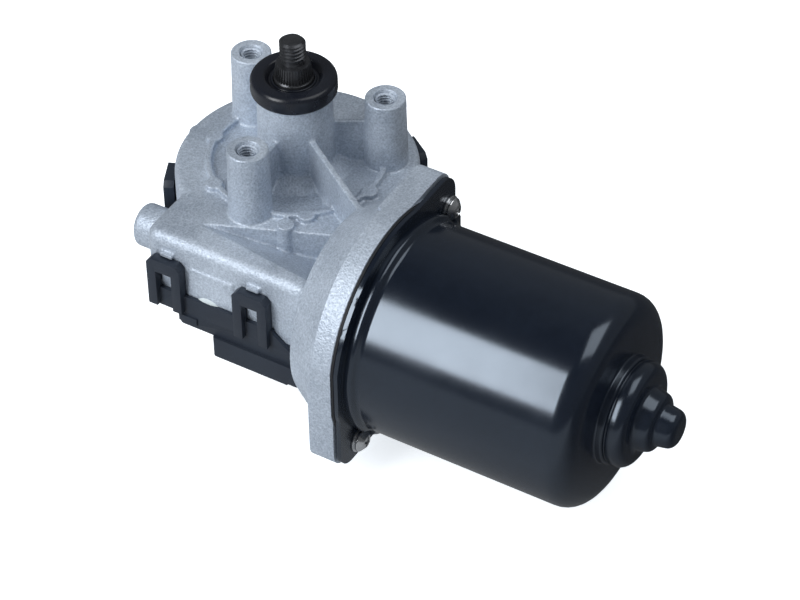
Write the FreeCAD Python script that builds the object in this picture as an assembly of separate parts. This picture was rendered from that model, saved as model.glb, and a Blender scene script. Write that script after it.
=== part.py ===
import FreeCAD, Part
import math
import os
from FreeCAD import Vector

# Windscreen wiper motor with a worm gearbox, millimetres.
# +Z is the output shaft, +X the motor axis with the can on the +X side.
# The origin is on the output shaft, in the plane of the three mounting bosses.

# Worm drive
gear_module = 1.0
wheel_teeth = 54
worm_pitch_r = 4.0
worm_addendum = 0.9
wheel_addendum = 0.85
tip_gap = 0.25
tooth_width = 1.38
flank_angle = 20.0
wheel_face = 9.0
worm_length = 27.0

# Mounting bosses
boss_pcd = 54.0
boss_count = 3
boss_angle = 31.5
boss_top_r = 6.15
boss_base_r = 6.8
boss_hole_r = 3.0
boss_hole_depth = 17.0

# Gear housing, drops are measured down from the mounting face
deck_drop = 23.8
deck_wall = 3.0
parting_drop = 47.0
motor_drop = 40.5
drum_r = 37.2
drum_edge = 2.2
cavity_gap = 3.15
tower_r = 11.3
tower_top = 4.1
hub_drop = 34.9
apron_r = 17.0
apron_rise = 2.4
ridge_r = 26.8
ridge_w = 2.0
ridge_h = 1.8
pad_r = 2.7
pad_angles = (188.4, 237.1, 308.1, 354.0)
rib_w = 1.6
rib_drop = 8.4
long_rib_angle = -32.4
long_rib_reach = 44.0
long_rib_drops = (7.9, 10.4)
long_rib_w = 1.9
lug_r = 3.2
lug_out = 35.6

# Worm box in front of the drum, offsets are from the motor axis
box_left = -22.9
box_front_offset = 18.5
box_corner_r = 4.5
box_edge_r = 3.6
channel_r = 6.3
tunnel_wall = 1.9
stub_r = 6.3
stub_drop = 1.4
stub_end = -36.6
stub_wall = 2.4
valley_start_x = -9.7
valley_start_y = -39.4
valley_angle = 22.2
valley_depth = 16.0
pillar_x = 13.6
pillar_r = 2.75
panel_x0 = -7.9
panel_x1 = 9.8
panel_low = -43.0
panel_high = -32.4
panel_t = 0.5

# Funnel and flange towards the can
funnel_x = 35.0
funnel_r = 30.0
flange_back_x = 48.0
flange_x = 53.3
flange_r = 38.0
funnel_wall = 3.6
flange_flat = 34.2
screw_y = 26.45
screw_z = 24.7
ear_r = 7.7
ear_length = 3.5

# Motor can
gasket_t = 0.8
gasket_inset = 0.3
gasket_w = 7.35
can_r = 32.45
can_wall = 2.5
can_flange_inset = 0.6
can_flange_t = 1.4
can_ear_r = 7.2
can_end_x = 126.5
can_edge_r = 6.0
hub_r = 15.9
hub_x = 135.0
nose_r = 9.2
nose_tip_r = 6.4
nose_step_x = 140.4
nose_x = 146.0

# Output shaft
shaft_r = 6.0
shaft_clearance = 0.04
shaft_thread_r = 4.0
shaft_top = 21.8
knurl_top = 13.8
knurl_bottom = 9.0
knurl_top_r = 5.25
bush_r = 8.5
bush_length = 10.0
upper_bush_top = 1.5
cap_r = 13.1
cap_top = 9.1
cap_recess_r = 8.4
cap_recess = 1.6
cap_lip_r = 6.9
cap_web = 0.8
washer_t = 0.5
circlip_t = 1.0
hub_disc_r = 16.0
hub_disc_t = 1.6
park_disc_t = 0.5
contact_radii = (9.6, 11.6, 14.0)
contact_x = -26.0
contact_w = 1.4
contact_t = 0.4
contact_foot = 5.0
contact_bend = 0.45

# Rotor
rotor_shaft_r = 5.0
rear_journal_r = 4.0
end_journal_r = 3.0
core_r = 22.6
core_x = 72.0
core_length = 38.0
slot_count = 12
commutator_r = 11.0
commutator_x = 53.0
commutator_length = 14.0
winding_r = 20.4
winding_overhang = 4.5
front_bush_x = 41.5
ball_bush_r = 8.0
retainer_r = 6.9
retainer_t = 0.85
retainer_rim = 3.0
rear_bush_x = 128.9

# Magnets and brush gear
magnet_inner_r = 23.4
magnet_length = 52.0
magnet_x = 66.0
magnet_arc = 128.0
brush_plate_x = 50.3
brush_plate_t = 2.5
brush_axial = 5.0
brush_width = 4.6
brush_length = 10.5
holder_reach = 15.0
holder_front = 2.2
holder_wall = 0.6
brush_angles = (90.0, 210.0, 330.0)
choke_r = 2.9
choke_length = 13.0
choke_reach = 22.5
choke_angles = (30.0, 150.0)

# Cover and connector
seal_t = 0.4
cover_depth = 7.8
cover_wall = 2.2
cover_floor = 2.5
cover_rim_t = 2.6
cover_lip = 1.4
cover_gap = 0.2
lip_rise = 4.2
pan_start_x = -11.0
pan_edge_r = 1.5
skirt_x = 22.6
skirt_drop = 4.2
skirt_wall = 2.5
tab_x0 = -10.3
tab_x1 = -4.0
tab_height = 2.7
tab_t = 0.6
clip_width = 11.7
clip_window = 5.5
clip_t = 3.25
clip_top = -31.2
clip_bar = 4.4
clip_foot = -49.0
clip_corner = 1.6
clip_gap = 0.25
catch_width = 4.8
catch_t = 1.6
catch_height = 6.9
nub_width = 4.4
nub_height = 1.6
nub_t = 1.3
front_clip_x = (-14.15, 16.05)
drum_clip_angles = (204.5, 55.0, 131.0)
socket_x0 = 1.5
socket_x1 = 31.6
socket_front = 1.0
socket_depth_y = 17.6
socket_height = 6.8
socket_wall = 2.2
socket_step_x = 27.5
socket_step = 1.0
pin_count = 5
pin_width = 2.8
pin_t = 0.8
pin_pitch = 4.6
pin_recess = 2.5

# Screws of the can
screw_r = 2.0
screw_length = 10.0
screw_head_r = 3.7
screw_head_h = 2.5
screw_washer_r = 4.1
screw_washer_t = 0.8
screw_hole_gap = 0.3

# Worked out from the sizes above
wheel_pitch_r = gear_module * wheel_teeth / 2
centre_distance = wheel_pitch_r + worm_pitch_r
worm_pitch = math.pi * gear_module
worm_tip_r = worm_pitch_r + worm_addendum
wheel_tip_r = wheel_pitch_r + wheel_addendum
worm_root_r = centre_distance - wheel_tip_r - tip_gap
wheel_root_r = centre_distance - worm_tip_r - tip_gap
motor_y = -centre_distance
motor_z = -motor_drop
deck_z = -deck_drop
parting_z = -parting_drop
ceiling_z = deck_z - deck_wall
hub_z = -hub_drop
cavity_r = wheel_tip_r + cavity_gap
box_front = motor_y - box_front_offset
wheel_top = motor_z + wheel_face / 2
wheel_bottom = motor_z - wheel_face / 2
can_face_x = flange_x + gasket_t
can_back_x = can_face_x + can_flange_t
can_inner_r = can_r - can_wall
can_flange_r = flange_r - can_flange_inset
gasket_r = flange_r - gasket_inset
brush_face_x = brush_plate_x + brush_plate_t
cover_top = parting_z - seal_t
cover_z = cover_top - cover_depth
rim_z = cover_top - cover_rim_t
lip_z = cover_top + lip_rise
cover_out = cover_gap + cover_lip
pan_r = cavity_r + cover_wall
socket_z = cover_z - socket_height
socket_face = box_front - cover_out - socket_front
catch_top = clip_top - clip_bar - clip_gap
boss_r = boss_pcd / 2


def polar(radius, degrees):
    angle = math.radians(degrees)
    return radius * math.cos(angle), radius * math.sin(angle)


def on_z(a, b, height=0.0):
    return Vector(a, b, height)


def on_motor(x, radius):
    return Vector(x, motor_y, motor_z + radius)


def on_shaft(radius, z):
    return Vector(radius, 0, z)


def rounded_wire(points, place):
    """Closed wire through the points; a third value rounds that corner."""
    corners = []
    count = len(points)
    for i, point in enumerate(points):
        here = Vector(point[0], point[1], 0)
        if len(point) == 2 or point[2] <= 0:
            corners.append((here, None, here))
            continue
        before = Vector(points[i - 1][0], points[i - 1][1], 0) - here
        after = Vector(points[(i + 1) % count][0], points[(i + 1) % count][1], 0) - here
        before.normalize()
        after.normalize()
        half = before.getAngle(after) / 2
        reach = point[2] / math.tan(half)
        middle = before + after
        middle.normalize()
        centre = here + middle * (point[2] / math.sin(half))
        corners.append((here + before * reach, centre - middle * point[2], here + after * reach))
    edges = []
    for i in range(count):
        start, through, end = corners[i]
        if through is not None:
            edges.append(Part.Arc(place(start.x, start.y), place(through.x, through.y),
                                  place(end.x, end.y)).toShape())
        following = corners[(i + 1) % count][0]
        if end.distanceToPoint(following) > 1e-6:
            edges.append(Part.LineSegment(place(end.x, end.y), place(following.x, following.y)).toShape())
    return Part.Wire(edges)


def prism(points, low, high):
    face = Part.Face(rounded_wire(points, lambda a, b: on_z(a, b, low)))
    return face.extrude(Vector(0, 0, high - low))


def spin_motor(points):
    """Solid of revolution about the motor axis from (x, radius) points."""
    face = Part.Face(rounded_wire(points, on_motor))
    return face.revolve(Vector(0, motor_y, motor_z), Vector(1, 0, 0), 360)


def spin_shaft(points):
    """Solid of revolution about the output shaft from (radius, z) points."""
    face = Part.Face(rounded_wire(points, on_shaft))
    return face.revolve(Vector(0, 0, 0), Vector(0, 0, 1), 360)


def box(x0, x1, y0, y1, z0, z1):
    return Part.makeBox(x1 - x0, y1 - y0, z1 - z0, Vector(x0, y0, z0))


def motor_cylinder(radius, x0, x1):
    return Part.makeCylinder(radius, x1 - x0, Vector(x0, motor_y, motor_z), Vector(1, 0, 0))


def motor_ring(outer, inner, x0, x1):
    return motor_cylinder(outer, x0, x1).cut(motor_cylinder(inner, x0 - 1, x1 + 1))


def shaft_cylinder(radius, z0, z1):
    return Part.makeCylinder(radius, z1 - z0, Vector(0, 0, z0))


def shaft_ring(outer, inner, z0, z1):
    return shaft_cylinder(outer, z0, z1).cut(shaft_cylinder(inner, z0 - 1, z1 + 1))


def about_motor(shape, degrees):
    copy = shape.copy()
    copy.rotate(Vector(0, motor_y, motor_z), Vector(1, 0, 0), degrees)
    return copy


def about_shaft(shape, degrees):
    copy = shape.copy()
    copy.rotate(Vector(0, 0, 0), Vector(0, 0, 1), degrees)
    return copy


def edges_where(shape, test):
    return [edge for edge in shape.Edges if test(edge)]


# Outline of the drum and the worm box seen from above

def footprint(inset, low, high, right):
    drum = shaft_cylinder(drum_r - inset, low, high)
    left = box_left + inset
    front = box_front + inset
    corner = max(box_corner_r - inset, 0.5)
    worm_box = prism([(left, 0), (left, front, corner), (right - inset, front),
                      (right - inset, 0)], low, high)
    return drum.fuse(worm_box).removeSplitter()


def drum_body():
    return spin_shaft([(0, parting_z), (drum_r, parting_z), (drum_r, deck_z, drum_edge), (0, deck_z)])


def worm_box_body():
    body = prism([(box_left, 0), (box_left, box_front, box_corner_r), (funnel_x + 1, box_front),
                  (funnel_x + 1, 0)], parting_z, deck_z)
    top = edges_where(body, lambda e: e.BoundBox.ZMin > deck_z - 0.01 and e.BoundBox.YMax < 0.1
                      and e.BoundBox.XMax < funnel_x + 1.1 and e.BoundBox.XMin < funnel_x)
    top = [e for e in top if e.BoundBox.YMin < -0.1]
    return body.makeFillet(box_edge_r, top)


def valley_cutter():
    """The sloping hollow between the gear drum and the front ridge of the worm box."""
    slope = math.tan(math.radians(valley_angle))
    end_x = funnel_x + 4
    end_y = valley_start_y + (end_x - valley_start_x) * slope
    ridge_y = box_front + box_edge_r
    foot = deck_z - valley_depth
    above = deck_z + 3
    start = Vector(valley_start_x, valley_start_y, deck_z)
    start_up = Vector(valley_start_x, valley_start_y, above)
    wall_up = Vector(end_x, end_y, above)
    wall_foot = Vector(end_x, end_y, foot)
    ridge = Vector(end_x, ridge_y, deck_z)
    ridge_up = Vector(end_x, ridge_y, above)
    faces = [(start, wall_foot, ridge), (start_up, ridge_up, wall_up), (start, start_up, wall_up, wall_foot),
             (start, ridge, ridge_up, start_up), (wall_foot, wall_up, ridge_up, ridge)]
    shell = Part.makeShell([Part.Face(Part.makePolygon(list(f) + [f[0]])) for f in faces])
    return Part.makeSolid(shell)


def screw_place(side, x):
    """Point at x on the axis of one can screw; side is 1 or -1."""
    return Vector(x, motor_y + side * screw_y, motor_z + side * screw_z)


def screw_hole(side, x, length):
    return Part.makeCylinder(screw_r + screw_hole_gap, length, screw_place(side, x), Vector(1, 0, 0))


def ear_prism(ring_radius, radius, side, x0, x1):
    """Tangent web from a ring round the motor axis to one screw ear; side is 1 or -1."""
    centre = screw_place(side, x0)
    axis = Vector(x0, motor_y, motor_z)
    along = centre - axis
    distance = along.Length
    heading = math.atan2(along.z, along.y)
    swing = math.acos((ring_radius - radius) / distance)
    points = []
    tangents = ((1, axis, ring_radius), (1, centre, radius), (-1, centre, radius), (-1, axis, ring_radius))
    for sign, base, reach in tangents:
        angle = heading + sign * swing
        points.append(base + Vector(0, math.cos(angle), math.sin(angle)) * reach)
    web = Part.Face(Part.makePolygon(points + [points[0]])).extrude(Vector(x1 - x0, 0, 0))
    pad = Part.makeCylinder(radius, x1 - x0, centre, Vector(1, 0, 0))
    return web.fuse(pad)


def tower_body():
    lower = tower_r + 0.5
    return spin_shaft([(0, hub_z), (tower_r, hub_z), (tower_r, ceiling_z), (apron_r, deck_z - 1),
                       (apron_r, deck_z), (lower + 1.2, deck_z + apron_rise), (lower, deck_z + apron_rise + 1.2),
                       (tower_r, tower_top, 0.4), (0, tower_top)])


def boss_body(index):
    x, y = polar(boss_r, boss_angle + index * 360 / boss_count)
    body = Part.makeCone(boss_base_r, boss_top_r, deck_drop + 1, Vector(x, y, deck_z - 1))
    rim = edges_where(body, lambda e: abs(e.BoundBox.ZMin) < 0.01 and abs(e.BoundBox.ZMax) < 0.01)
    return body.makeFillet(0.5, rim)


def boss_hole(index):
    x, y = polar(boss_r, boss_angle + index * 360 / boss_count)
    hole = Part.makeCylinder(boss_hole_r, boss_hole_depth, Vector(x, y, -boss_hole_depth))
    tip = Part.makeCone(0, boss_hole_r, 1.6, Vector(x, y, -boss_hole_depth - 1.6))
    return hole.fuse(tip)


def upright_rib(angle, start, end, top_start, top_end, width):
    """Flat rib standing on the deck along one direction from the output shaft."""
    foot = deck_z - 1
    profile = [on_shaft(start, foot), on_shaft(end, foot), on_shaft(end, top_end), on_shaft(start, top_start)]
    rib = Part.Face(Part.makePolygon(profile + [profile[0]])).extrude(Vector(0, width, 0))
    rib.translate(Vector(0, -width / 2, 0))
    return about_shaft(rib, angle)


def deck_ribs():
    ribs = []
    inner = tower_r - 1.5
    outer = boss_r - boss_top_r + 2
    for index in range(boss_count):
        angle = boss_angle + index * 360 / boss_count
        ribs.append(upright_rib(angle, inner, outer, -rib_drop, -rib_drop, rib_w))
    start_drop, end_drop = long_rib_drops
    ribs.append(upright_rib(long_rib_angle, inner, long_rib_reach, -start_drop, -end_drop, long_rib_w))
    return ribs


def deck_ridge():
    """Low rib round the deck, broken at the bosses, with round ejector pads on it."""
    ring = shaft_ring(ridge_r + ridge_w / 2, ridge_r - ridge_w / 2, deck_z - 1, deck_z + ridge_h)
    gap = Part.makeBox(60, 60, 60, Vector(0, 0, deck_z - 10))
    ring = ring.cut(about_shaft(gap, 62))
    pads = []
    for angle in pad_angles:
        x, y = polar(ridge_r + 0.6, angle)
        pads.append(Part.makeCylinder(pad_r, ridge_h + 1, Vector(x, y, deck_z - 1)))
    return [ring] + pads


def funnel_body():
    body = spin_motor([(funnel_x, 0), (funnel_x, funnel_r, 1.0), (flange_back_x, flange_r, 2.0),
                       (flange_x, flange_r, 0.6), (flange_x, 0)])
    ears = [ear_prism(flange_r, ear_r, side, flange_back_x - ear_length, can_face_x) for side in (1, -1)]
    trim = motor_cylinder(flange_r, flange_x, can_face_x)
    ears = [ear.cut(trim) for ear in ears]
    return body.fuse(ears).common(flange_slab(funnel_x - 1, can_face_x + 1, 0)).cut(cover_room())


def flange_slab(x0, x1, inset):
    """Block that trims the round flanges flat on their two sides."""
    side = flange_flat - inset
    tall = 2 * flange_r
    return box(x0, x1, motor_y - side, motor_y + side, motor_z - tall, motor_z + tall)


def cover_room():
    """Space that the cover's drum takes beside the funnel and the neck."""
    return shaft_cylinder(drum_r + cover_out + 0.3, cover_z - 6, lip_z + 0.3)


def neck_body():
    low = motor_z - 17.5
    neck = motor_cylinder(24.0, socket_x1 + 0.4, funnel_x + 1)
    neck = neck.common(box(socket_x1, funnel_x + 2, box_front, motor_y + 22, low, deck_z))
    return neck.cut(cover_room())


def stub_block(gap, x0, x1):
    """Outline of the boss round the end of the worm, a little taller than wide."""
    radius = stub_r + gap
    corner = radius - 0.01
    low = -radius - stub_drop
    outline = [(-radius, low, corner), (radius, low, corner), (radius, radius, corner), (-radius, radius, corner)]
    face = Part.Face(rounded_wire(outline, lambda a, b: Vector(x0, motor_y + a, motor_z + b)))
    return face.extrude(Vector(x1 - x0, 0, 0))


def stub_room():
    return stub_block(clip_gap, stub_end, box_left + clip_gap)


def stub_body():
    body = stub_block(0, stub_end, box_left + 2)
    body = body.makeFillet(1.8, edges_where(body, lambda e: e.BoundBox.XMax < stub_end + 0.01))
    return body.cut(box(box_left, box_left + 3, motor_y - 20, motor_y + 20, parting_z - 5, parting_z))


def prism_yz(points, x0, x1):
    face = Part.Face(rounded_wire(points, lambda a, b: Vector(x0, a, b)))
    return face.extrude(Vector(x1 - x0, 0, 0))


def catch_wedge(wall):
    """Wedge on a wall that faces -Y; the bar of a clip hooks under its flat top."""
    profile = [(wall + 1, catch_top), (wall - catch_t, catch_top), (wall, catch_top - catch_height),
               (wall + 1, catch_top - catch_height)]
    return prism_yz(profile, -catch_width / 2, catch_width / 2)


def clip_catches():
    catches = []
    for x in front_clip_x:
        wedge = catch_wedge(box_front)
        wedge.translate(Vector(x, 0, 0))
        nub_low = clip_top + clip_gap
        nub = box(x - nub_width / 2, x + nub_width / 2, box_front - nub_t, box_front + 1,
                  nub_low, nub_low + nub_height)
        catches += [wedge, nub]
    for angle in drum_clip_angles:
        catches.append(about_shaft(catch_wedge(-drum_r), angle + 90))
    return catches


def wall_panel():
    """Slightly raised field between the two clips on the front wall."""
    slope = 1.5
    return prism_xz([(panel_x0, panel_low), (panel_x1, panel_low), (panel_x1 - slope, panel_high),
                     (panel_x0 + slope, panel_high)], box_front - panel_t, box_front + 1)


def skirt_profile(gap):
    """Corner of the front wall that reaches down past the parting plane."""
    right = socket_x1 + 0.4 + gap
    return [(skirt_x - gap, parting_z + 1), (skirt_x - gap, parting_z - gap),
            (right, parting_z - skirt_drop - gap), (right, parting_z + 1)]


def skirt_plate(gap):
    return prism_xz(skirt_profile(gap), box_front, box_front + skirt_wall + gap)


def gear_housing():
    shell = drum_body().fuse(worm_box_body()).cut(valley_cutter())
    tunnel = motor_cylinder(channel_r + tunnel_wall, box_left, funnel_x + 1)
    tunnel = tunnel.common(box(box_left, funnel_x + 2, motor_y - 20, motor_y + 20, parting_z, deck_z))
    slope = math.tan(math.radians(valley_angle))
    pillar_y = valley_start_y + (pillar_x - valley_start_x) * slope + 1.9
    pillar_foot = parting_z + 8
    pillar_top = deck_z + 1.4
    pillar = Part.makeCylinder(pillar_r, pillar_top - pillar_foot, Vector(pillar_x, pillar_y, pillar_foot))
    lug_x, lug_y = polar(lug_out, 180)
    lug = Part.makeCylinder(lug_r, deck_z - 3 - lip_z, Vector(lug_x, lug_y, lip_z + 0.5))
    solids = [shell, tunnel, pillar, lug, tower_body(), neck_body(), stub_body(), funnel_body()]
    solids += [wall_panel(), skirt_plate(0)]
    solids += [boss_body(i) for i in range(boss_count)]
    solids += deck_ribs() + deck_ridge() + clip_catches()
    body = solids[0].fuse(solids[1:])
    cuts = [shaft_cylinder(cavity_r, parting_z - 1, ceiling_z).cut(shaft_cylinder(tower_r, hub_z, ceiling_z + 1))]
    front_low = box_front + 2.8
    cuts.append(motor_cylinder(channel_r, box_left + 3, worm_length / 2 + 3))
    cuts.append(box(box_left + 3, worm_length / 2 + 3, motor_y - channel_r, motor_y + channel_r,
                    parting_z - 1, motor_z))
    cuts.append(box(box_left + 3, socket_x1 - 4, front_low, motor_y - channel_r - 1.8,
                    parting_z - 1, motor_z + 5.5))
    cuts.append(motor_cylinder(rotor_shaft_r + 0.6, 0, flange_x))
    inner_x = funnel_x + funnel_wall
    inner_r = can_inner_r - 0.45
    cuts.append(spin_motor([(inner_x, 12.8), (inner_x, funnel_r - funnel_wall - 2, 2), (inner_x + 6, inner_r - 2),
                            (brush_plate_x, inner_r - 2), (brush_plate_x, inner_r), (flange_x + 1, inner_r),
                            (flange_x + 1, 0), (front_bush_x + 6, 0), (front_bush_x + 6, 12.8)]))
    cuts.append(motor_cylinder(ball_bush_r, front_bush_x, front_bush_x + 7))
    cuts.append(Part.makeSphere(ball_bush_r, Vector(front_bush_x, motor_y, motor_z)))
    cuts.append(motor_cylinder(end_journal_r + 1.4, stub_end + stub_wall, box_left + 4))
    cuts.append(shaft_cylinder(bush_r, hub_z - 1, tower_top + 1))
    cuts += [boss_hole(i) for i in range(boss_count)]
    for side in (1, -1):
        cuts.append(Part.makeCylinder(screw_r, screw_length + 3, screw_place(side, can_back_x - screw_length - 3),
                                      Vector(1, 0, 0)))
    recess = shaft_ring(ridge_r - 2.5, tower_r + 2.0, deck_z - 2.2, deck_z + 4)
    sector = about_shaft(box(0, 40, rib_w / 2 + 0.4, 40, deck_z - 3, deck_z + 3), boss_angle)
    sector = sector.common(about_shaft(box(0, 40, -40, 0, deck_z - 3, deck_z + 3), boss_angle + 52))
    cuts.append(recess.common(sector))
    return body.cut(cuts).removeSplitter()


# Output shaft, its bushes, seals and the worm wheel

def tower_bush(top):
    return shaft_ring(bush_r, shaft_r + shaft_clearance, top - bush_length, top)


def shaft_cap():
    lip_in = shaft_r + 0.25
    lip_top = cap_top - cap_web
    floor = cap_top - cap_recess
    ceiling = tower_top + 1.9
    skirt = tower_top - 0.9
    return spin_shaft([(lip_in, ceiling), (lip_in, lip_top), (cap_lip_r, lip_top, 0.3),
                       (cap_lip_r, floor, 0.3), (cap_recess_r - 0.3, floor, 0.4), (cap_recess_r, cap_top, 0.5),
                       (cap_r, cap_top, 1.1), (cap_r, tower_top, 0.8), (bush_r - 0.02, tower_top),
                       (bush_r - 0.02, skirt), (bush_r - 0.4, skirt), (bush_r - 0.4, ceiling)])


def shaft_o_ring():
    ring_r = 0.85
    return Part.makeTorus(shaft_r + 0.06 + ring_r, ring_r, Vector(0, 0, tower_top + 0.95))


def output_shaft():
    end = wheel_bottom - 1.2
    groove_low = upper_bush_top + washer_t + 0.05
    groove_high = groove_low + circlip_t + 0.1
    return spin_shaft([(0, end), (shaft_r, end, 0.6), (shaft_r, groove_low), (shaft_r - 0.7, groove_low),
                       (shaft_r - 0.7, groove_high), (shaft_r, groove_high), (shaft_r, knurl_bottom - 0.4),
                       (shaft_r - 0.15, knurl_bottom), (knurl_top_r, knurl_top), (shaft_thread_r - 0.6, knurl_top),
                       (shaft_thread_r - 0.6, knurl_top + 0.7), (shaft_thread_r, knurl_top + 1.3),
                       (shaft_thread_r, shaft_top - 0.9), (shaft_thread_r - 0.9, shaft_top), (0, shaft_top)])


def shaft_washer():
    return shaft_ring(bush_r - 0.3, shaft_r + 0.1, upper_bush_top + 0.02, upper_bush_top + washer_t)


def shaft_circlip():
    low = upper_bush_top + washer_t + 0.08
    ring = shaft_ring(shaft_r + 1.4, shaft_r - 0.65, low, low + circlip_t)
    gap = box(0, 12, -1.2, 1.2, low - 1, low + 3)
    return ring.cut(about_shaft(gap, 20))


def wheel_thrust_washer():
    return shaft_ring(tower_r - 0.4, shaft_r + 0.1, wheel_top + 0.02, hub_z - 0.05)


def tooth_profile(height, turn):
    """Closed outline of all the wheel's teeth at one height, turned by the helix."""
    spread = math.tan(math.radians(flank_angle))
    tip_half = tooth_width / 2 - wheel_addendum * spread
    root_half = tooth_width / 2 + (wheel_pitch_r - wheel_root_r) * spread
    points = []
    for tooth in range(wheel_teeth):
        centre = -90 + (tooth + 0.5) * 360 / wheel_teeth + turn
        for radius, half in ((wheel_root_r, -root_half), (wheel_tip_r, -tip_half),
                             (wheel_tip_r, tip_half), (wheel_root_r, root_half)):
            x, y = polar(radius, centre + math.degrees(half / radius))
            points.append(Vector(x, y, height))
    return Part.Wire(Part.makePolygon(points + [points[0]]).Edges)


def worm_wheel():
    lead = gear_module / (2 * worm_pitch_r)
    half_turn = math.degrees(lead * wheel_face / 2 / wheel_pitch_r)
    outlines = [tooth_profile(wheel_bottom, -half_turn), tooth_profile(wheel_top, half_turn)]
    teeth = Part.makeLoft(outlines, True, True)
    web_low = motor_z - 2
    pockets = shaft_ring(wheel_root_r - 2.6, hub_disc_r + 1.2, wheel_bottom - 1, web_low)
    pockets = pockets.fuse(shaft_ring(wheel_root_r - 2.6, tower_r + 2.2, motor_z + 2, wheel_top + 1))
    ribs = []
    for index in range(9):
        rib = box(tower_r, wheel_root_r - 1, -0.8, 0.8, wheel_bottom + 0.6, wheel_top - 0.6)
        ribs.append(about_shaft(rib, index * 40))
    pockets = pockets.cut(ribs)
    hub_seat = shaft_cylinder(hub_disc_r, wheel_bottom - 1, wheel_bottom + hub_disc_t)
    return teeth.cut([pockets, hub_seat, shaft_cylinder(shaft_r, wheel_bottom - 2, wheel_top + 2)])


def wheel_hub_disc():
    return shaft_ring(hub_disc_r, shaft_r, wheel_bottom, wheel_bottom + hub_disc_t)


def park_disc():
    low = wheel_bottom - park_disc_t
    track = shaft_ring(hub_disc_r - 0.6, 8.2, low, wheel_bottom)
    notch = about_shaft(box(11.6, 20, -3.2, 3.2, low - 1, wheel_bottom + 1), 160)
    return track.cut(notch)


# Rotor

def armature_shaft():
    """Shaft with the worm thread rolled into it."""
    half = worm_length / 2
    core = spin_motor([(stub_end + stub_wall + 0.9, 0), (stub_end + stub_wall + 0.9, end_journal_r, 0.5),
                       (-half - 1.5, end_journal_r), (-half - 1.5, worm_root_r), (half, worm_root_r),
                       (half + 2, rotor_shaft_r), (core_x + core_length + 3, rotor_shaft_r),
                       (core_x + core_length + 3, rear_journal_r), (nose_step_x - 1.6, rear_journal_r, 0.5),
                       (nose_step_x - 1.6, 0)])
    helix = Part.makeHelix(worm_pitch, worm_length - worm_pitch, worm_pitch_r)
    spread = math.tan(math.radians(flank_angle))
    deep = worm_pitch_r - worm_root_r + 0.15
    tip_half = tooth_width / 2 - worm_addendum * spread
    root_half = tooth_width / 2 + deep * spread
    corners = [Vector(worm_root_r - 0.15, 0, -root_half), Vector(worm_tip_r, 0, -tip_half),
               Vector(worm_tip_r, 0, tip_half), Vector(worm_root_r - 0.15, 0, root_half)]
    section = Part.Wire(Part.makePolygon(corners + [corners[0]]).Edges)
    thread = Part.Wire(helix.Edges).makePipeShell([section], True, True)
    start = -(worm_length - worm_pitch) / 2
    thread.rotate(Vector(0, 0, 0), Vector(0, 0, 1), 360 * start / worm_pitch)
    thread.translate(Vector(0, 0, start))
    thread.rotate(Vector(0, 0, 0), Vector(0, 1, 0), 90)
    thread.rotate(Vector(0, 0, 0), Vector(1, 0, 0), 90)
    thread.translate(Vector(0, motor_y, motor_z))
    return core.fuse(thread)


def armature_core():
    core = motor_ring(core_r, rotor_shaft_r, core_x, core_x + core_length)
    mouth = box(core_x - 1, core_x + core_length + 1, motor_y - 0.9, motor_y + 0.9,
                motor_z + 18, motor_z + core_r + 2)
    slot = prism_slot(core_x - 1, core_x + core_length + 1, 0.0)
    cuts = []
    for index in range(slot_count):
        angle = index * 360 / slot_count
        cuts.append(about_motor(mouth, angle))
        cuts.append(about_motor(slot, angle))
    return core.cut(cuts)


def prism_slot(x0, x1, inset):
    """Tapered winding slot of the core, wider towards the rim."""
    points = [(-1.4 + inset, 11.5 + inset), (1.4 - inset, 11.5 + inset),
              (3.2 - inset, 20.2 - inset), (-3.2 + inset, 20.2 - inset)]
    corners = [Vector(x0, motor_y + a, motor_z + b) for a, b in points]
    return Part.Face(Part.makePolygon(corners + [corners[0]])).extrude(Vector(x1 - x0, 0, 0))


def armature_windings():
    gap = 0.2
    low = core_x - gap
    high = core_x + core_length + gap
    heads = [spin_motor([(low, 8.5, 1), (low, winding_r, 1), (low - winding_overhang + 1, winding_r - 2, 2),
                         (low - winding_overhang + 1, 8.5, 1.2)]),
             spin_motor([(high, 8.5, 1), (high, winding_r, 1), (high + winding_overhang, winding_r - 2, 2),
                         (high + winding_overhang, 8.5, 1.2)])]
    bar = prism_slot(low - 1, high + 1, gap)
    bars = [about_motor(bar, index * 360 / slot_count) for index in range(slot_count)]
    return heads[0].fuse([heads[1]] + bars)


def commutator():
    body = spin_motor([(commutator_x, rotor_shaft_r), (commutator_x, commutator_r, 0.4),
                       (commutator_x + commutator_length - 2.2, commutator_r),
                       (commutator_x + commutator_length - 2.2, commutator_r + 1.6),
                       (commutator_x + commutator_length, commutator_r + 1.6),
                       (commutator_x + commutator_length, rotor_shaft_r)])
    groove = box(commutator_x - 1, commutator_x + commutator_length + 1, motor_y - 0.25, motor_y + 0.25,
                 motor_z + commutator_r - 0.8, motor_z + commutator_r + 3)
    cuts = [about_motor(groove, (index + 0.5) * 360 / slot_count) for index in range(slot_count)]
    return body.cut(cuts)


# Bearings of the rotor

def ball_bush(x, bore):
    """Self-aligning bush, a ball flattened at both ends with a plain bore."""
    half = ball_bush_r * 0.55
    radius = ball_bush_r - 0.02
    chord = math.sqrt(radius ** 2 - half ** 2)
    hole = bore + shaft_clearance
    low = x - half
    high = x + half
    ends = [on_motor(low, hole), on_motor(low, chord), on_motor(high, chord), on_motor(high, hole)]
    edges = [Part.LineSegment(ends[0], ends[1]).toShape(),
             Part.Arc(ends[1], on_motor(x, radius), ends[2]).toShape(),
             Part.LineSegment(ends[2], ends[3]).toShape(), Part.LineSegment(ends[3], ends[0]).toShape()]
    section = Part.Face(Part.Wire(edges))
    return section.revolve(Vector(0, motor_y, motor_z), Vector(1, 0, 0), 360)


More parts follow.
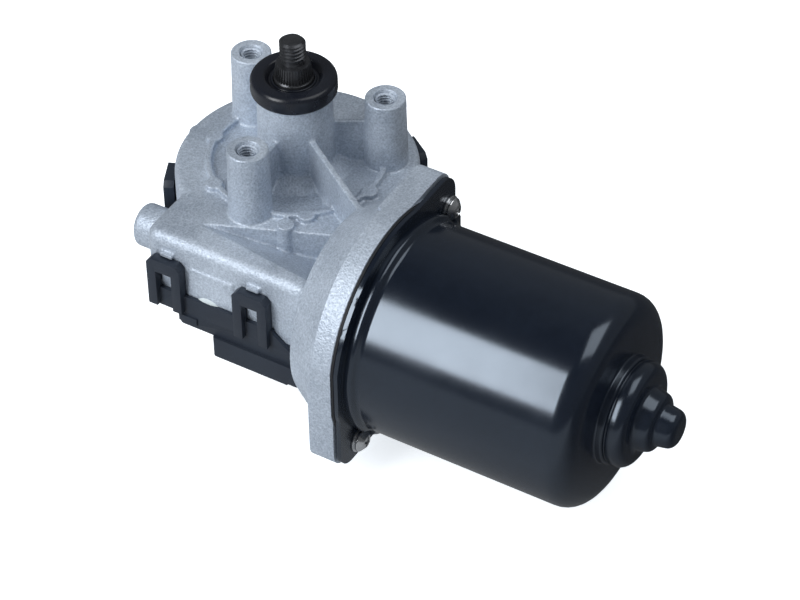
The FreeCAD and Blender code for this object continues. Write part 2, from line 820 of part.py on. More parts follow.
def front_bush_retainer():
    seat = front_bush_x + math.sqrt(ball_bush_r ** 2 - retainer_r ** 2)
    return motor_ring(ball_bush_r, retainer_r, seat + 0.05, seat + 0.05 + retainer_t)


def rear_bush_retainer():
    inner = hub_r - can_wall
    step = inner - retainer_t * 1.4
    seat = rear_bush_x - math.sqrt(ball_bush_r ** 2 - retainer_r ** 2)
    far = seat + retainer_rim
    return spin_motor([(seat - 0.1 - retainer_t, retainer_r), (seat - 0.1, retainer_r), (seat + 0.6, step),
                       (far, step), (far, inner), (seat - 0.3, inner)])


def worm_end_bush():
    low = stub_end + stub_wall + 1.2
    return motor_ring(end_journal_r + 1.4, end_journal_r + shaft_clearance, low, box_left + 3.5)


def thrust_pad():
    low = stub_end + stub_wall
    return motor_cylinder(end_journal_r + 1.3, low, low + 0.85)


def rear_thrust_plug():
    inner = nose_tip_r - can_wall + 0.4
    end = nose_x - can_wall
    return motor_cylinder(inner - 0.1, nose_step_x - 1.5, end - 0.05)


# Can and what is in it

def motor_can():
    w = can_wall
    outer = spin_motor([(can_face_x, 0), (can_face_x, can_r + 1.6), (can_back_x + 2.2, can_r + 1.6, 0.8),
                        (can_back_x + 3.4, can_r), (can_end_x, can_r, can_edge_r), (can_end_x + 0.5, hub_r + 0.6),
                        (can_end_x + 3.0, hub_r + 0.5, 0.6), (can_end_x + 3.2, hub_r - 0.4),
                        (can_end_x + 3.7, hub_r - 0.4), (can_end_x + 3.9, hub_r, 0.5), (hub_x, hub_r, 3.0),
                        (hub_x, nose_r + 0.6, 0.6), (nose_step_x - 0.7, nose_r - 0.7, 1.6),
                        (nose_step_x, nose_tip_r + 0.1, 0.8), (nose_x, nose_tip_r - 0.9, 2.6), (nose_x, 0)])
    inner_x = can_end_x - w
    bush_seat = rear_bush_x + math.sqrt(ball_bush_r ** 2 - (nose_r - w) ** 2)
    inner = spin_motor([(can_face_x - 1, 0), (can_face_x - 1, can_inner_r), (inner_x, can_inner_r, can_edge_r - w),
                        (inner_x, hub_r - w), (bush_seat, hub_r - w), (bush_seat, nose_r - w),
                        (nose_step_x - 1.2, nose_r - w), (nose_step_x - 1.2, nose_tip_r - w + 0.4),
                        (nose_x - w, nose_tip_r - w + 0.4), (nose_x - w, 0)])
    flange = motor_cylinder(can_flange_r, can_face_x, can_back_x)
    ears = [ear_prism(can_flange_r, can_ear_r, side, can_face_x, can_back_x) for side in (1, -1)]
    flange = flange.fuse(ears).common(flange_slab(flange_x, can_back_x + 1, 0))
    body = outer.fuse(flange)
    holes = [screw_hole(side, can_face_x - 2, 6) for side in (1, -1)]
    seats = [Part.makeCylinder(screw_washer_r + 0.2, 8, screw_place(side, can_back_x), Vector(1, 0, 0))
             for side in (1, -1)]
    return body.cut([inner] + holes + seats).removeSplitter()


def can_gasket():
    ring = motor_ring(gasket_r, gasket_r - gasket_w, flange_x, can_face_x)
    ring = ring.common(flange_slab(flange_x - 1, can_face_x + 1, gasket_inset))
    return ring.cut([screw_hole(side, flange_x - 2, 6) for side in (1, -1)])


def magnets():
    ring = motor_ring(can_inner_r, magnet_inner_r, magnet_x, magnet_x + magnet_length)
    pieces = []
    for side in (0, 180):
        pieces.append(ring.common(sector_wedge(magnet_x - 1, magnet_x + magnet_length + 1, magnet_arc, side)))
    return Part.makeCompound(pieces)


def sector_wedge(x0, x1, spread, angle):
    """Wedge round the motor axis, centred on one direction."""
    reach = 60
    points = [Vector(x0, motor_y, motor_z)]
    for share in (-0.5, -0.25, 0, 0.25, 0.5):
        turn = math.radians(angle + share * spread)
        points.append(Vector(x0, motor_y + reach * math.cos(turn), motor_z + reach * math.sin(turn)))
    return Part.Face(Part.makePolygon(points + [points[0]])).extrude(Vector(x1 - x0, 0, 0))


def magnet_clips():
    """Spring strips that wedge the magnets apart."""
    ring = motor_ring(can_inner_r, can_inner_r - 0.9, magnet_x + 3, magnet_x + magnet_length - 3)
    spread = 180 - magnet_arc - 1.0
    pieces = [ring.common(sector_wedge(magnet_x, magnet_x + magnet_length, spread, angle)) for angle in (90, 270)]
    return Part.makeCompound(pieces)


def brush_plate():
    return motor_ring(can_inner_r - 0.55, commutator_r + 1.2, brush_plate_x, brush_face_x)


def brush_holders():
    base = brush_face_x
    wide = brush_width / 2 + holder_wall + 0.1
    slot = brush_width / 2 + 0.1
    front = motor_z + commutator_r
    outer = box(base, base + brush_axial + 2 * holder_wall + 0.2, motor_y - wide, motor_y + wide,
                front + holder_front, front + holder_reach)
    hole = box(base + holder_wall, base + holder_wall + brush_axial + 0.2, motor_y - slot, motor_y + slot,
               front, front + holder_reach - holder_wall)
    return Part.makeCompound([about_motor(outer.cut(hole), angle - 90) for angle in brush_angles])


def carbon_brushes():
    base = brush_face_x + holder_wall + 0.1
    brush = box(base, base + brush_axial, motor_y - brush_width / 2, motor_y + brush_width / 2,
                motor_z + commutator_r - 1, motor_z + commutator_r + brush_length)
    brush = brush.cut(motor_cylinder(commutator_r + 0.06, commutator_x - 2, commutator_x + 20))
    return Part.makeCompound([about_motor(brush, angle - 90) for angle in brush_angles])


def brush_springs():
    outer = brush_width * 0.41
    height = holder_reach - holder_wall - brush_length
    middle = brush_face_x + holder_wall + 0.1 + brush_axial / 2
    foot = Vector(middle, motor_y, motor_z + commutator_r + brush_length)
    spring = Part.makeCylinder(outer, height, foot).cut(Part.makeCylinder(outer - 0.5, height, foot))
    return Part.makeCompound([about_motor(spring, angle - 90) for angle in brush_angles])


def choke_coils():
    pieces = []
    corner = Vector(brush_face_x + choke_r, motor_y - choke_length / 2, motor_z + choke_reach)
    for angle in choke_angles:
        coil = Part.makeCylinder(choke_r, choke_length, corner, Vector(0, 1, 0))
        pieces.append(about_motor(coil, angle - 90))
    return Part.makeCompound(pieces)


def thermal_cutout():
    base = brush_face_x
    block = box(base, base + 5.5, motor_y - 6, motor_y + 6, motor_z + 17.5, motor_z + 25.5)
    return about_motor(block, 180)


# Cover under the gear housing, with snap loops and the connector

def prism_xz(points, y0, y1):
    face = Part.Face(rounded_wire(points, lambda a, b: Vector(a, y0, b)))
    return face.extrude(Vector(0, y1 - y0, 0))


def snap_clip(wall):
    """Clip with two legs and a bar across the top, standing off a wall that faces -Y."""
    half = clip_width / 2
    low_corner = clip_top - clip_corner
    outline = [(-half, clip_foot), (-half, low_corner), (-half + clip_corner, clip_top),
               (half - clip_corner, clip_top), (half, low_corner), (half, clip_foot)]
    far = wall - clip_gap - clip_t
    body = prism_xz(outline, far, wall - clip_gap)
    window = clip_window / 2
    return body.cut(box(-window, window, far - 1, wall + 1, clip_foot - 1, clip_top - clip_bar))


def cover_pan(inset, low, high):
    """Deep part of the cover under the wheel and the worm, open at the left end of the box."""
    radius = pan_r - inset
    edge = pan_edge_r if inset == 0 else 0.3
    drum = spin_shaft([(0, low), (radius, low, edge), (radius, high), (0, high)])
    front = box_front - cover_out if inset == 0 else box_front + inset
    left = pan_start_x + inset
    right = socket_x1 - inset
    trough = prism([(left, 0), (left, front, 1.5), (right, front, 1.5), (right, 0)], low, high)
    rim = edges_where(trough, lambda e: e.BoundBox.ZMax < low + 0.01 and e.BoundBox.YMin < -1)
    return drum.fuse(trough.makeFillet(edge, rim))


def connector_block():
    right = socket_x1
    far = socket_face + socket_depth_y
    block = prism([(socket_x0, socket_face, 1.0), (right, socket_face, 1.0), (right, far, 1.5),
                   (socket_x0, far, 1.5)], socket_z, cover_z + 1)
    low_rim = edges_where(block, lambda e: e.BoundBox.ZMax < socket_z + 0.01)
    return block.makeFillet(0.7, low_rim)


def gear_cover():
    rim = footprint(-cover_out, rim_z, lip_z, socket_x1 - cover_out)
    rim = rim.cut(footprint(-cover_gap, cover_top, lip_z + 1, socket_x1 + 2))
    beyond = socket_x1 + 5
    lip_end = [(skirt_x, lip_z + 1), (skirt_x, lip_z - 0.8), (socket_x1 - 2.6, rim_z + 0.7),
               (beyond, rim_z - 0.5), (beyond, lip_z + 1)]
    above_slope = prism_xz(lip_end, box_front - cover_out - 1, box_front - cover_gap)
    parts = [cover_pan(0, cover_z, rim_z + 0.5), connector_block()]
    parts.append(box(tab_x0, tab_x1, box_front - cover_out - tab_t, box_front, rim_z - tab_height, rim_z - 0.3))
    for x in front_clip_x:
        clip = snap_clip(box_front)
        clip.translate(Vector(x, 0, 0))
        parts.append(clip)
    parts += [about_shaft(snap_clip(-drum_r), angle + 90) for angle in drum_clip_angles]
    body = rim.cut(above_slope).fuse(parts)
    hollow = cover_pan(cover_wall, cover_z + cover_floor, cover_top + 1)
    hollow = hollow.fuse(footprint(cover_wall, rim_z + 1.4, cover_top + 1, socket_x1))
    neck_room = box(socket_x1, funnel_x + 1 + clip_gap, box_front, 0, cover_top, lip_z + 1)
    left = socket_x0 + socket_wall
    right = socket_x1 - socket_wall
    near = socket_face + socket_wall
    far = socket_face + socket_depth_y - socket_wall
    socket = prism([(left, near, 1), (right, near, 1), (right, far, 1), (left, far, 1)], socket_z - 1, cover_z)
    step = box(socket_step_x, socket_x1 + 1, socket_face - 1, far + 5, socket_z - 1, socket_z + socket_step)
    slots = [pin_blade(index) for index in range(pin_count)]
    cuts = [hollow, stub_room(), neck_room, socket, step, skirt_plate(clip_gap)]
    return body.cut(cuts + slots).removeSplitter()


def socket_centre():
    return (socket_x0 + socket_x1) / 2, socket_face + socket_depth_y / 2


def pin_blade(index):
    x, y = socket_centre()
    x += (index - (pin_count - 1) / 2) * pin_pitch
    low = socket_z + pin_recess
    return box(x - pin_width / 2, x + pin_width / 2, y - pin_t / 2, y + pin_t / 2, low, cover_z + cover_floor + 2)


def connector_pins():
    return Part.makeCompound([pin_blade(index) for index in range(pin_count)])


def cover_seal():
    outer = footprint(0.4, cover_top, parting_z, socket_x1)
    inner = footprint(2.4, cover_top - 1, parting_z + 1, socket_x1)
    return outer.cut([inner, stub_room(), skirt_plate(clip_gap)])


def park_contacts():
    """Three spring strips that wipe the contact disc on the wheel."""
    floor = cover_z + cover_floor
    touch = wheel_bottom - park_disc_t - 0.15
    strips = []
    for radius in contact_radii:
        bend = touch - contact_bend
        profile = [(contact_x, floor), (contact_x + contact_foot + contact_t, floor), (-1.5, bend - contact_t),
                   (0, touch - contact_t), (1.5, bend - contact_t), (1.5, bend), (0, touch), (-1.5, bend),
                   (contact_x + contact_foot, floor + contact_t), (contact_x, floor + contact_t)]
        strips.append(prism_xz(profile, -radius - contact_w / 2, -radius + contact_w / 2))
    return Part.makeCompound(strips)


# Fasteners of the can

def can_screws():
    pieces = []
    for side in (1, -1):
        seat = can_back_x + screw_washer_t
        tip = screw_place(side, can_back_x - screw_length)
        shank = Part.makeCylinder(screw_r, screw_length + screw_washer_t, tip, Vector(1, 0, 0))
        head = Part.makeCylinder(screw_head_r, screw_head_h, screw_place(side, seat), Vector(1, 0, 0))
        rim = edges_where(head, lambda e: e.BoundBox.XMin > seat + screw_head_h - 0.01)
        head = head.makeFillet(1.2, rim)
        pieces.append(shank.fuse(head))
    return Part.makeCompound(pieces)


def screw_washers():
    pieces = []
    for side in (1, -1):
        ring = Part.makeCylinder(screw_washer_r, screw_washer_t, screw_place(side, can_back_x), Vector(1, 0, 0))
        pieces.append(ring.cut(Part.makeCylinder(screw_r, 5, screw_place(side, can_back_x - 2), Vector(1, 0, 0))))
    return Part.makeCompound(pieces)


nodes = {
    "gear_housing": gear_housing,
    "upper_shaft_bush": lambda: tower_bush(upper_bush_top),
    "lower_shaft_bush": lambda: tower_bush(hub_z + bush_length),
    "shaft_cap": shaft_cap,
    "shaft_o_ring": shaft_o_ring,
    "output_shaft": output_shaft,
    "shaft_washer": shaft_washer,
    "shaft_circlip": shaft_circlip,
    "wheel_thrust_washer": wheel_thrust_washer,
    "worm_wheel": worm_wheel,
    "wheel_hub_disc": wheel_hub_disc,
    "park_disc": park_disc,
    "park_contacts": park_contacts,
    "armature_shaft": armature_shaft,
    "armature_core": armature_core,
    "armature_windings": armature_windings,
    "commutator": commutator,
    "front_ball_bush": lambda: ball_bush(front_bush_x, rotor_shaft_r),
    "front_bush_retainer": front_bush_retainer,
    "rear_ball_bush": lambda: ball_bush(rear_bush_x, rear_journal_r),
    "rear_bush_retainer": rear_bush_retainer,
    "worm_end_bush": worm_end_bush,
    "worm_thrust_pad": thrust_pad,
    "rear_thrust_plug": rear_thrust_plug,
    "motor_can": motor_can,
    "can_gasket": can_gasket,
    "field_magnets": magnets,
    "magnet_clips": magnet_clips,
    "brush_plate": brush_plate,
    "brush_holders": brush_holders,
    "carbon_brushes": carbon_brushes,
    "brush_springs": brush_springs,
    "choke_coils": choke_coils,
    "thermal_cutout": thermal_cutout,
    "gear_cover": gear_cover,
    "cover_seal": cover_seal,
    "connector_pins": connector_pins,
    "can_screws": can_screws,
    "screw_washers": screw_washers,
}

os.makedirs("parts", exist_ok=True)
for name, make in nodes.items():
    shape = make()
    shape.exportStep("parts/" + name + ".step")
    print(name, len(shape.Solids), round(shape.Volume, 1), shape.isValid())
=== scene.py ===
import bpy
import math
from mathutils import Matrix, Vector


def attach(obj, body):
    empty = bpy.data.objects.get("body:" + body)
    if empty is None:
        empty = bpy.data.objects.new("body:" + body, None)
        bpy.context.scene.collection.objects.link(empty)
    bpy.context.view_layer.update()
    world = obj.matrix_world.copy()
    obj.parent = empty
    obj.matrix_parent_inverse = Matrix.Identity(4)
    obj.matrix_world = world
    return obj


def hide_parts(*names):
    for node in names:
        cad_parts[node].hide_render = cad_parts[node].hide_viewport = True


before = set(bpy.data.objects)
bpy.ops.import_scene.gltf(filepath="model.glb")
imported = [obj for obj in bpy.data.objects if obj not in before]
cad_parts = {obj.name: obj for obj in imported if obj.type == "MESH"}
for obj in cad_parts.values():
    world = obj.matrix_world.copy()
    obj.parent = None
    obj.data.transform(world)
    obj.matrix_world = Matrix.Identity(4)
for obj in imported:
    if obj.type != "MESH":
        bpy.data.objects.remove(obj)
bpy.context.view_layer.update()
print("frame loaded")

mm = 0.001
motorAxis = (0, -31.0, -40.5)    # a point on the motor axis, which runs along X
shaftAxis = (0, 0, 0)
fullTurn = 2 * math.pi


# bench tools, sizes in millimetres

def nothingSelected():
    if bpy.context.object and bpy.context.object.mode != "OBJECT":
        bpy.ops.object.mode_set(mode="OBJECT")
    bpy.ops.object.select_all(action="DESELECT")


def pickUp(*objects):
    nothingSelected()
    for obj in objects:
        obj.select_set(True)
    bpy.context.view_layer.objects.active = objects[0]


def settle(obj):
    # closes the seams, turns the faces outwards and puts the object at the origin
    pickUp(obj)
    bpy.ops.object.transform_apply(location=True, rotation=True, scale=True)
    bpy.ops.object.mode_set(mode="EDIT")
    bpy.ops.mesh.select_all(action="SELECT")
    bpy.ops.mesh.remove_doubles(threshold=0.002 * mm)
    bpy.ops.mesh.normals_make_consistent(inside=False)
    bpy.ops.object.mode_set(mode="OBJECT")
    return obj


def roundedOutline(points, steps=6):
    # a third value rounds that corner by so many millimetres
    outline = []
    count = len(points)
    for index, point in enumerate(points):
        here = Vector(point[:2])
        radius = point[2] if len(point) > 2 else 0
        if radius <= 0:
            outline.append(here)
            continue
        before = (Vector(points[index - 1][:2]) - here).normalized()
        after = (Vector(points[(index + 1) % count][:2]) - here).normalized()
        half = before.angle(after) / 2
        centre = here + (before + after).normalized() * (radius / math.sin(half))
        start = here + before * (radius / math.tan(half)) - centre
        end = here + after * (radius / math.tan(half)) - centre
        startAngle = math.atan2(start.y, start.x)
        sweep = (math.atan2(end.y, end.x) - startAngle + math.pi) % fullTurn - math.pi
        for step in range(steps + 1):
            angle = startAngle + sweep * step / steps
            outline.append(centre + Vector((math.cos(angle), math.sin(angle))) * radius)
    return outline


def drawChain(name, points):
    # one vertex, extruded from point to point
    nothingSelected()
    bpy.ops.mesh.primitive_plane_add(size=mm)
    obj = bpy.context.object
    obj.name = name
    bpy.ops.object.mode_set(mode="EDIT")
    bpy.ops.mesh.merge(type="CENTER")
    places = [Vector(point) * mm for point in points]
    bpy.ops.transform.translate(value=places[0])
    for before, after in zip(places, places[1:]):
        bpy.ops.mesh.extrude_vertices_move(TRANSFORM_OT_translate={"value": after - before})
    return obj


def turned(name, profile, about="shaft", steps=128, cornerSteps=6):
    # profile is (radius, z) about the output shaft or (x, radius) about the motor axis
    outline = roundedOutline(profile, cornerSteps)
    if about == "shaft":
        points = [(a, 0, b) for a, b in outline]
        centre, axis = Vector(shaftAxis) * mm, (0, 0, 1)
        radii = [a for a, b in outline]
    else:
        points = [(a, motorAxis[1], motorAxis[2] + b) for a, b in outline]
        centre, axis = Vector(motorAxis) * mm, (1, 0, 0)
        radii = [b for a, b in outline]
    obj = drawChain(name, points)
    bpy.ops.mesh.select_all(action="SELECT")
    if min(radii[0], radii[-1]) > 1e-6:
        bpy.ops.mesh.edge_face_add()
        bpy.ops.mesh.delete(type="ONLY_FACE")
        bpy.ops.mesh.select_all(action="SELECT")
    bpy.ops.mesh.spin(steps=steps, angle=fullTurn, center=centre, axis=axis)
    return settle(obj)


def pressed(name, outline, low, high, along):
    # an outline in XZ pushed out along Y, or one in YZ pushed out along X
    place = {"y": lambda a, b, c: (a, c, b), "x": lambda a, b, c: (c, a, b)}[along]
    obj = drawChain(name, [place(a, b, low) for a, b in roundedOutline(outline)])
    bpy.ops.mesh.select_all(action="SELECT")
    bpy.ops.mesh.edge_face_add()
    bpy.ops.mesh.extrude_region_move(TRANSFORM_OT_translate={"value": Vector(place(0, 0, high - low)) * mm})
    return settle(obj)


def brick(name, low, high):
    nothingSelected()
    centre = (Vector(low) + Vector(high)) / 2
    bpy.ops.mesh.primitive_cube_add(size=mm, location=centre * mm, scale=Vector(high) - Vector(low))
    bpy.context.object.name = name
    return settle(bpy.context.object)


def drum(name, radius, start, length, sides=64):
    # cylinder that runs along X from its start point
    nothingSelected()
    middle = Vector(start) + Vector((length / 2, 0, 0))
    bpy.ops.mesh.primitive_cylinder_add(vertices=sides, radius=radius * mm, depth=length * mm,
                                        location=middle * mm, rotation=(0, math.pi / 2, 0))
    bpy.context.object.name = name
    return settle(bpy.context.object)


def copyOf(obj, name):
    pickUp(obj)
    bpy.ops.object.duplicate()
    copy = bpy.context.object
    copy.name = name
    return copy


def shapeWith(target, tools, operation):
    # adds, cuts or keeps what is common with all the tools at once
    group = bpy.data.collections.new("shapeTools")
    bpy.context.scene.collection.children.link(group)
    for tool in tools:
        group.objects.link(tool)
    pickUp(target)
    modifier = target.modifiers.new("shape", "BOOLEAN")
    modifier.operation = operation
    modifier.solver = "EXACT"
    modifier.operand_type = "COLLECTION"
    modifier.collection = group
    bpy.ops.object.modifier_apply(modifier="shape")
    for tool in tools:
        bpy.data.objects.remove(tool)
    bpy.data.collections.remove(group)
    return target


def fromSolid(nodeName, name):
    # a free copy of a CAD node's mesh, merged; the node itself stays as it is
    copy = copyOf(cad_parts[nodeName], name)
    for key in list(copy.keys()):
        del copy[key]
    copy.parent = None
    return settle(copy)


def joined(name, objects):
    pickUp(*objects)
    bpy.ops.object.join()
    bpy.context.object.name = name
    return bpy.context.object


def breakEdges(obj, width, angle=35):
    pickUp(obj)
    bevel = obj.modifiers.new("edges", "BEVEL")
    bevel.width = width * mm
    bevel.segments = 2
    bevel.limit_method = "ANGLE"
    bevel.angle_limit = math.radians(angle)
    bevel.miter_outer = "MITER_ARC"
    bpy.ops.object.modifier_apply(modifier="edges")
    return obj


def castSkin(obj, voxel, passes, triangles):
    # melts all the parts into one skin with soft inner and outer corners
    pickUp(obj)
    remesh = obj.modifiers.new("skin", "REMESH")
    remesh.mode = "VOXEL"
    remesh.voxel_size = voxel * mm
    bpy.ops.object.modifier_apply(modifier="skin")
    smooth = obj.modifiers.new("soften", "SMOOTH")
    smooth.factor = 0.5
    smooth.iterations = passes
    bpy.ops.object.modifier_apply(modifier="soften")
    faces = len(obj.data.polygons) * 2
    if faces > triangles:
        fewer = obj.modifiers.new("fewer", "DECIMATE")
        fewer.ratio = triangles / faces
        bpy.ops.object.modifier_apply(modifier="fewer")
    return obj


def handOver(obj, body, material, nodes=(), smoothAngle=35):
    # last step of every piece: shading, finish, body, and the CAD node that it stands for
    pickUp(obj)
    bpy.ops.object.shade_smooth_by_angle(angle=math.radians(smoothAngle))
    obj.data.materials.clear()
    obj.data.materials.append(material)
    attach(obj, body)
    if nodes:
        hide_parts(*nodes)
    print("made", obj.name, len(obj.data.polygons), "faces")
    return obj


# shader groups that several finishes share

def newGroup(name, inputs, outputs):
    group = bpy.data.node_groups.new(name, "ShaderNodeTree")
    for label, kind, value in inputs:
        socket = group.interface.new_socket(name=label, in_out="INPUT", socket_type=kind)
        if value is not None:
            socket.default_value = value
    for label, kind in outputs:
        group.interface.new_socket(name=label, in_out="OUTPUT", socket_type=kind)
    return group, group.nodes.new("NodeGroupInput"), group.nodes.new("NodeGroupOutput")


def addNode(tree, kind, **values):
    node = tree.nodes.new(kind)
    for key, value in values.items():
        setattr(node, key, value)
    return node


def remap(tree, source, low, high, outLow=0.0, outHigh=1.0):
    node = addNode(tree, "ShaderNodeMapRange", clamp=True)
    tree.links.new(source, node.inputs["Value"])
    for label, value in (("From Min", low), ("From Max", high), ("To Min", outLow), ("To Max", outHigh)):
        node.inputs[label].default_value = value
    return node.outputs["Result"]


def blend(tree, mask, first, second):
    node = addNode(tree, "ShaderNodeMix", data_type="RGBA")
    tree.links.new(mask, node.inputs["Factor"])
    for socket, value in ((node.inputs["A"], first), (node.inputs["B"], second)):
        if isinstance(value, tuple):
            socket.default_value = (*value, 1)
        else:
            tree.links.new(value, socket)
    return node.outputs["Result"]


def sums(tree, operation, first, second):
    node = addNode(tree, "ShaderNodeMath", operation=operation)
    for socket, value in zip(node.inputs, (first, second)):
        if isinstance(value, (int, float)):
            socket.default_value = value
        else:
            tree.links.new(value, socket)
    return node.outputs[0]


def makeBlastedGrain():
    # fine pits and grains of a blasted casting, and the tone that goes with them
    group, start, end = newGroup("blastedGrain",
                                 [("Vector", "NodeSocketVector", None), ("Grain", "NodeSocketFloat", 1600.0)],
                                 [("Height", "NodeSocketFloat"), ("Tone", "NodeSocketFloat")])
    noise = addNode(group, "ShaderNodeTexNoise", noise_dimensions="3D")
    noise.inputs["Detail"].default_value = 3
    noise.inputs["Roughness"].default_value = 0.6
    cells = addNode(group, "ShaderNodeTexVoronoi", feature="F1")
    for node in (noise, cells):
        group.links.new(start.outputs["Vector"], node.inputs["Vector"])
    group.links.new(start.outputs["Grain"], noise.inputs["Scale"])
    group.links.new(sums(group, "MULTIPLY", start.outputs["Grain"], 1.4), cells.inputs["Scale"])
    height = sums(group, "ADD", sums(group, "MULTIPLY", noise.outputs["Fac"], 0.7),
                  sums(group, "MULTIPLY", cells.outputs["Distance"], 0.45))
    group.links.new(height, end.inputs["Height"])
    group.links.new(remap(group, height, 0.35, 0.85), end.inputs["Tone"])
    return group


def makeSoftClouds():
    # slow, uneven patches such as dust, handling and uneven cooling
    group, start, end = newGroup("softClouds",
                                 [("Vector", "NodeSocketVector", None), ("Size", "NodeSocketFloat", 60.0)],
                                 [("Mask", "NodeSocketFloat")])
    noise = addNode(group, "ShaderNodeTexNoise", noise_dimensions="3D")
    noise.inputs["Detail"].default_value = 4
    noise.inputs["Roughness"].default_value = 0.55
    group.links.new(start.outputs["Vector"], noise.inputs["Vector"])
    group.links.new(start.outputs["Size"], noise.inputs["Scale"])
    group.links.new(remap(group, noise.outputs["Fac"], 0.35, 0.65), end.inputs["Mask"])
    return group


def makeDrawnLines():
    # fine lines left by a tool or a die, long in the direction where Stretch is small
    group, start, end = newGroup("drawnLines",
                                 [("Vector", "NodeSocketVector", None),
                                  ("Stretch", "NodeSocketVector", (1, 1, 1)),
                                  ("Fineness", "NodeSocketFloat", 900.0)],
                                 [("Height", "NodeSocketFloat")])
    scale = addNode(group, "ShaderNodeVectorMath", operation="MULTIPLY")
    group.links.new(start.outputs["Vector"], scale.inputs[0])
    group.links.new(start.outputs["Stretch"], scale.inputs[1])
    noise = addNode(group, "ShaderNodeTexNoise", noise_dimensions="3D")
    noise.inputs["Detail"].default_value = 2
    group.links.new(scale.outputs[0], noise.inputs["Vector"])
    group.links.new(start.outputs["Fineness"], noise.inputs["Scale"])
    group.links.new(noise.outputs["Fac"], end.inputs["Height"])
    return group


blastedGrain = makeBlastedGrain()
softClouds = makeSoftClouds()
drawnLines = makeDrawnLines()


def placeGroup(tree, group, **values):
    node = addNode(tree, "ShaderNodeGroup", node_tree=group)
    coordinates = addNode(tree, "ShaderNodeTexCoord")
    tree.links.new(coordinates.outputs["Object"], node.inputs["Vector"])
    for label, value in values.items():
        node.inputs[label].default_value = value
    return node


def newFinish(name, metallic=0.0, specular=0.5, tint=(1, 1, 1)):
    material = bpy.data.materials.new(name)
    material.use_nodes = True
    tree = material.node_tree
    shader = tree.nodes["Principled BSDF"]
    shader.inputs["Metallic"].default_value = metallic
    shader.inputs["Specular IOR Level"].default_value = specular
    shader.inputs["Specular Tint"].default_value = (*tint, 1)
    return material, tree, shader


def bumped(tree, shader, height, depth):
    bump = addNode(tree, "ShaderNodeBump")
    bump.inputs["Strength"].default_value = 1.0
    bump.inputs["Distance"].default_value = depth * mm
    tree.links.new(height, bump.inputs["Height"])
    tree.links.new(bump.outputs["Normal"], shader.inputs["Normal"])


def grainedFinish(name, light, dark, roughness, grain, depth, cloud=45.0, **shaderValues):
    # common recipe: grain for tone and bump, clouds for slow changes of colour and gloss
    material, tree, shader = newFinish(name, **shaderValues)
    grains = placeGroup(tree, blastedGrain, Grain=grain)
    clouds = placeGroup(tree, softClouds, Size=cloud)
    tone = sums(tree, "ADD", sums(tree, "MULTIPLY", grains.outputs["Tone"], 0.6),
                sums(tree, "MULTIPLY", clouds.outputs["Mask"], 0.4))
    tree.links.new(blend(tree, tone, dark, light), shader.inputs["Base Color"])
    tree.links.new(remap(tree, clouds.outputs["Mask"], 0, 1, *roughness), shader.inputs["Roughness"])
    bumped(tree, shader, grains.outputs["Height"], depth)
    return material


def linedFinish(name, light, dark, roughness, stretch, fineness, depth, **shaderValues):
    # common recipe for turned, ground and drawn metal
    material, tree, shader = newFinish(name, **shaderValues)
    lines = placeGroup(tree, drawnLines, Stretch=stretch, Fineness=fineness)
    clouds = placeGroup(tree, softClouds, Size=120.0)
    tone = sums(tree, "ADD", sums(tree, "MULTIPLY", lines.outputs["Height"], 0.6),
                sums(tree, "MULTIPLY", clouds.outputs["Mask"], 0.4))
    tree.links.new(blend(tree, tone, dark, light), shader.inputs["Base Color"])
    tree.links.new(remap(tree, lines.outputs["Height"], 0.3, 0.7, *roughness), shader.inputs["Roughness"])
    bumped(tree, shader, lines.outputs["Height"], depth)
    return material


castAluminium = grainedFinish("castAluminium", (0.63, 0.70, 0.79), (0.26, 0.305, 0.375), (0.44, 0.56),
                              1150.0, 0.22, cloud=40.0, metallic=0.42)
blackPaint = grainedFinish("blackCanPaint", (0.0065, 0.0100, 0.0185), (0.0045, 0.0070, 0.0130), (0.17, 0.22),
                           420.0, 0.005, cloud=50.0, specular=1.0, tint=(0.76, 0.87, 1.0))
blackNylon = grainedFinish("blackNylon", (0.021, 0.029, 0.043), (0.014, 0.019, 0.030), (0.40, 0.52),
                           2600.0, 0.02, cloud=70.0, specular=0.38)
capPlastic = grainedFinish("capPlastic", (0.010, 0.012, 0.018), (0.0075, 0.009, 0.014), (0.22, 0.30),
                           900.0, 0.006, cloud=90.0, specular=0.42)
blackRubber = grainedFinish("blackRubber", (0.016, 0.017, 0.021), (0.010, 0.011, 0.013), (0.55, 0.70),
                            2200.0, 0.03, cloud=90.0, specular=0.35)
oxideSteel = grainedFinish("blackOxideSteel", (0.095, 0.098, 0.106), (0.040, 0.042, 0.047), (0.24, 0.36),
                           2400.0, 0.02, cloud=260.0, metallic=0.75)
zincPlate = grainedFinish("zincPlate", (0.78, 0.79, 0.80), (0.60, 0.61, 0.63), (0.16, 0.28),
                          1800.0, 0.01, cloud=300.0, metallic=1.0)
bareSteel = linedFinish("groundSteel", (0.58, 0.59, 0.60), (0.42, 0.43, 0.44), (0.20, 0.34),
                        (14, 1, 1), 700.0, 0.004, metallic=1.0)
sinteredBronze = grainedFinish("sinteredBronze", (0.50, 0.33, 0.17), (0.34, 0.21, 0.10), (0.38, 0.5),
                               2600.0, 0.03, metallic=0.9)
naturalAcetal = grainedFinish("naturalAcetal", (0.80, 0.78, 0.70), (0.72, 0.70, 0.62), (0.34, 0.44),
                              1200.0, 0.006, specular=0.5)
copperMetal = linedFinish("copperMetal", (0.74, 0.38, 0.22), (0.54, 0.25, 0.14), (0.24, 0.4),
                          (1, 9, 9), 500.0, 0.006, metallic=1.0)
enamelWire = linedFinish("enamelWire", (0.52, 0.20, 0.08), (0.30, 0.10, 0.04), (0.2, 0.34),
                         (1, 7, 7), 240.0, 0.12, metallic=0.8)
laminated = linedFinish("laminatedCore", (0.34, 0.35, 0.37), (0.20, 0.21, 0.23), (0.35, 0.5),
                        (26, 0.3, 0.3), 90.0, 0.03, metallic=0.9)
